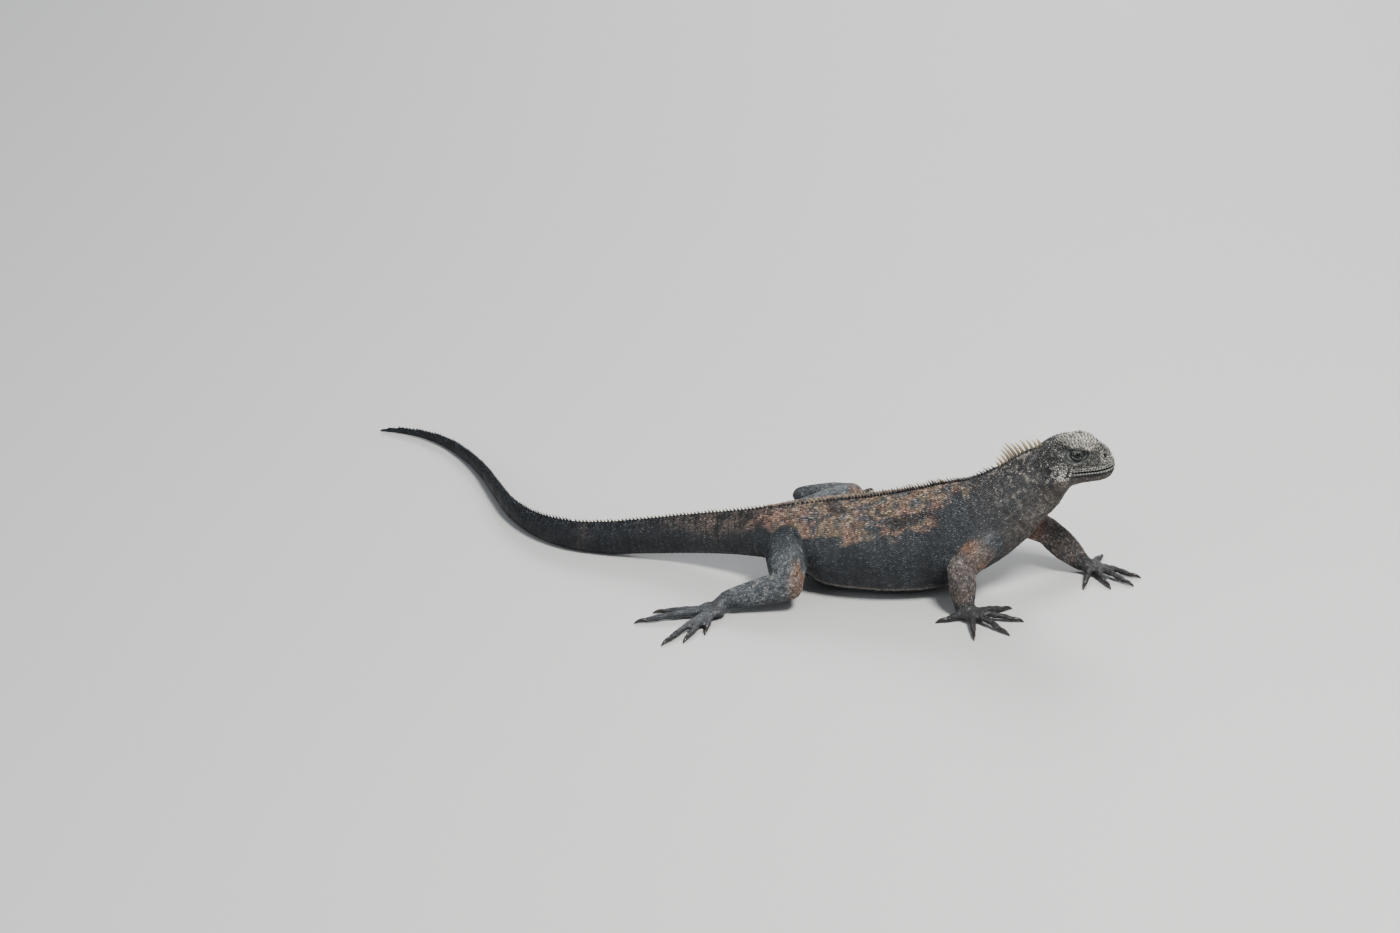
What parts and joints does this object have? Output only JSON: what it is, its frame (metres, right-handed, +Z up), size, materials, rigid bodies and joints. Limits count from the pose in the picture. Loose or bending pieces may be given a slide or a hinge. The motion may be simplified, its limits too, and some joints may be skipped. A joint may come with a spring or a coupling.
{
  "type": "marine iguana",
  "caption": "Life-size marine iguana lying on its belly with chest and head raised, limbs spread, long flat tail curving to the left, crest of spines from nape to tail.",
  "frame": {"origin": "on the floor plane under the middle of the belly, at the belly's small resting flat", "axes": "+X forwards, towards the head; +Y to the animal's left; +Z up from the floor"},
  "size_m": [0.7194, 0.3807, 0.1471],
  "materials": {
    "skin": "matt scaly hide",
    "claw": "satin horn",
    "eye": "wet gloss"
  },
  "bodies": {
    "root": {"head": "skin", "jaw": "skin", "neck": "skin", "trunk": "skin", "tail_1": "skin", "tail_2": "skin", "tail_3": "skin", "tail_4": "skin", "eye_left": "eye", "eye_right": "eye", "upper_arm_right": "skin", "forearm_right": "skin", "hand_right": "skin", "claw_hand_right_1": "claw", "claw_hand_right_2": "claw", "claw_hand_right_3": "claw", "claw_hand_right_4": "claw", "claw_hand_right_5": "claw", "upper_arm_left": "skin", "forearm_left": "skin", "hand_left": "skin", "claw_hand_left_1": "claw", "claw_hand_left_2": "claw", "claw_hand_left_3": "claw", "claw_hand_left_4": "claw", "claw_hand_left_5": "claw", "thigh_right": "skin", "shank_right": "skin", "foot_right": "skin", "claw_foot_right_1": "claw", "claw_foot_right_2": "claw", "claw_foot_right_3": "claw", "claw_foot_right_4": "claw", "claw_foot_right_5": "claw", "thigh_left": "skin", "shank_left": "skin", "foot_left": "skin", "claw_foot_left_1": "claw", "claw_foot_left_2": "claw", "claw_foot_left_3": "claw", "claw_foot_left_4": "claw", "claw_foot_left_5": "claw"}
  },
  "joints": []
}
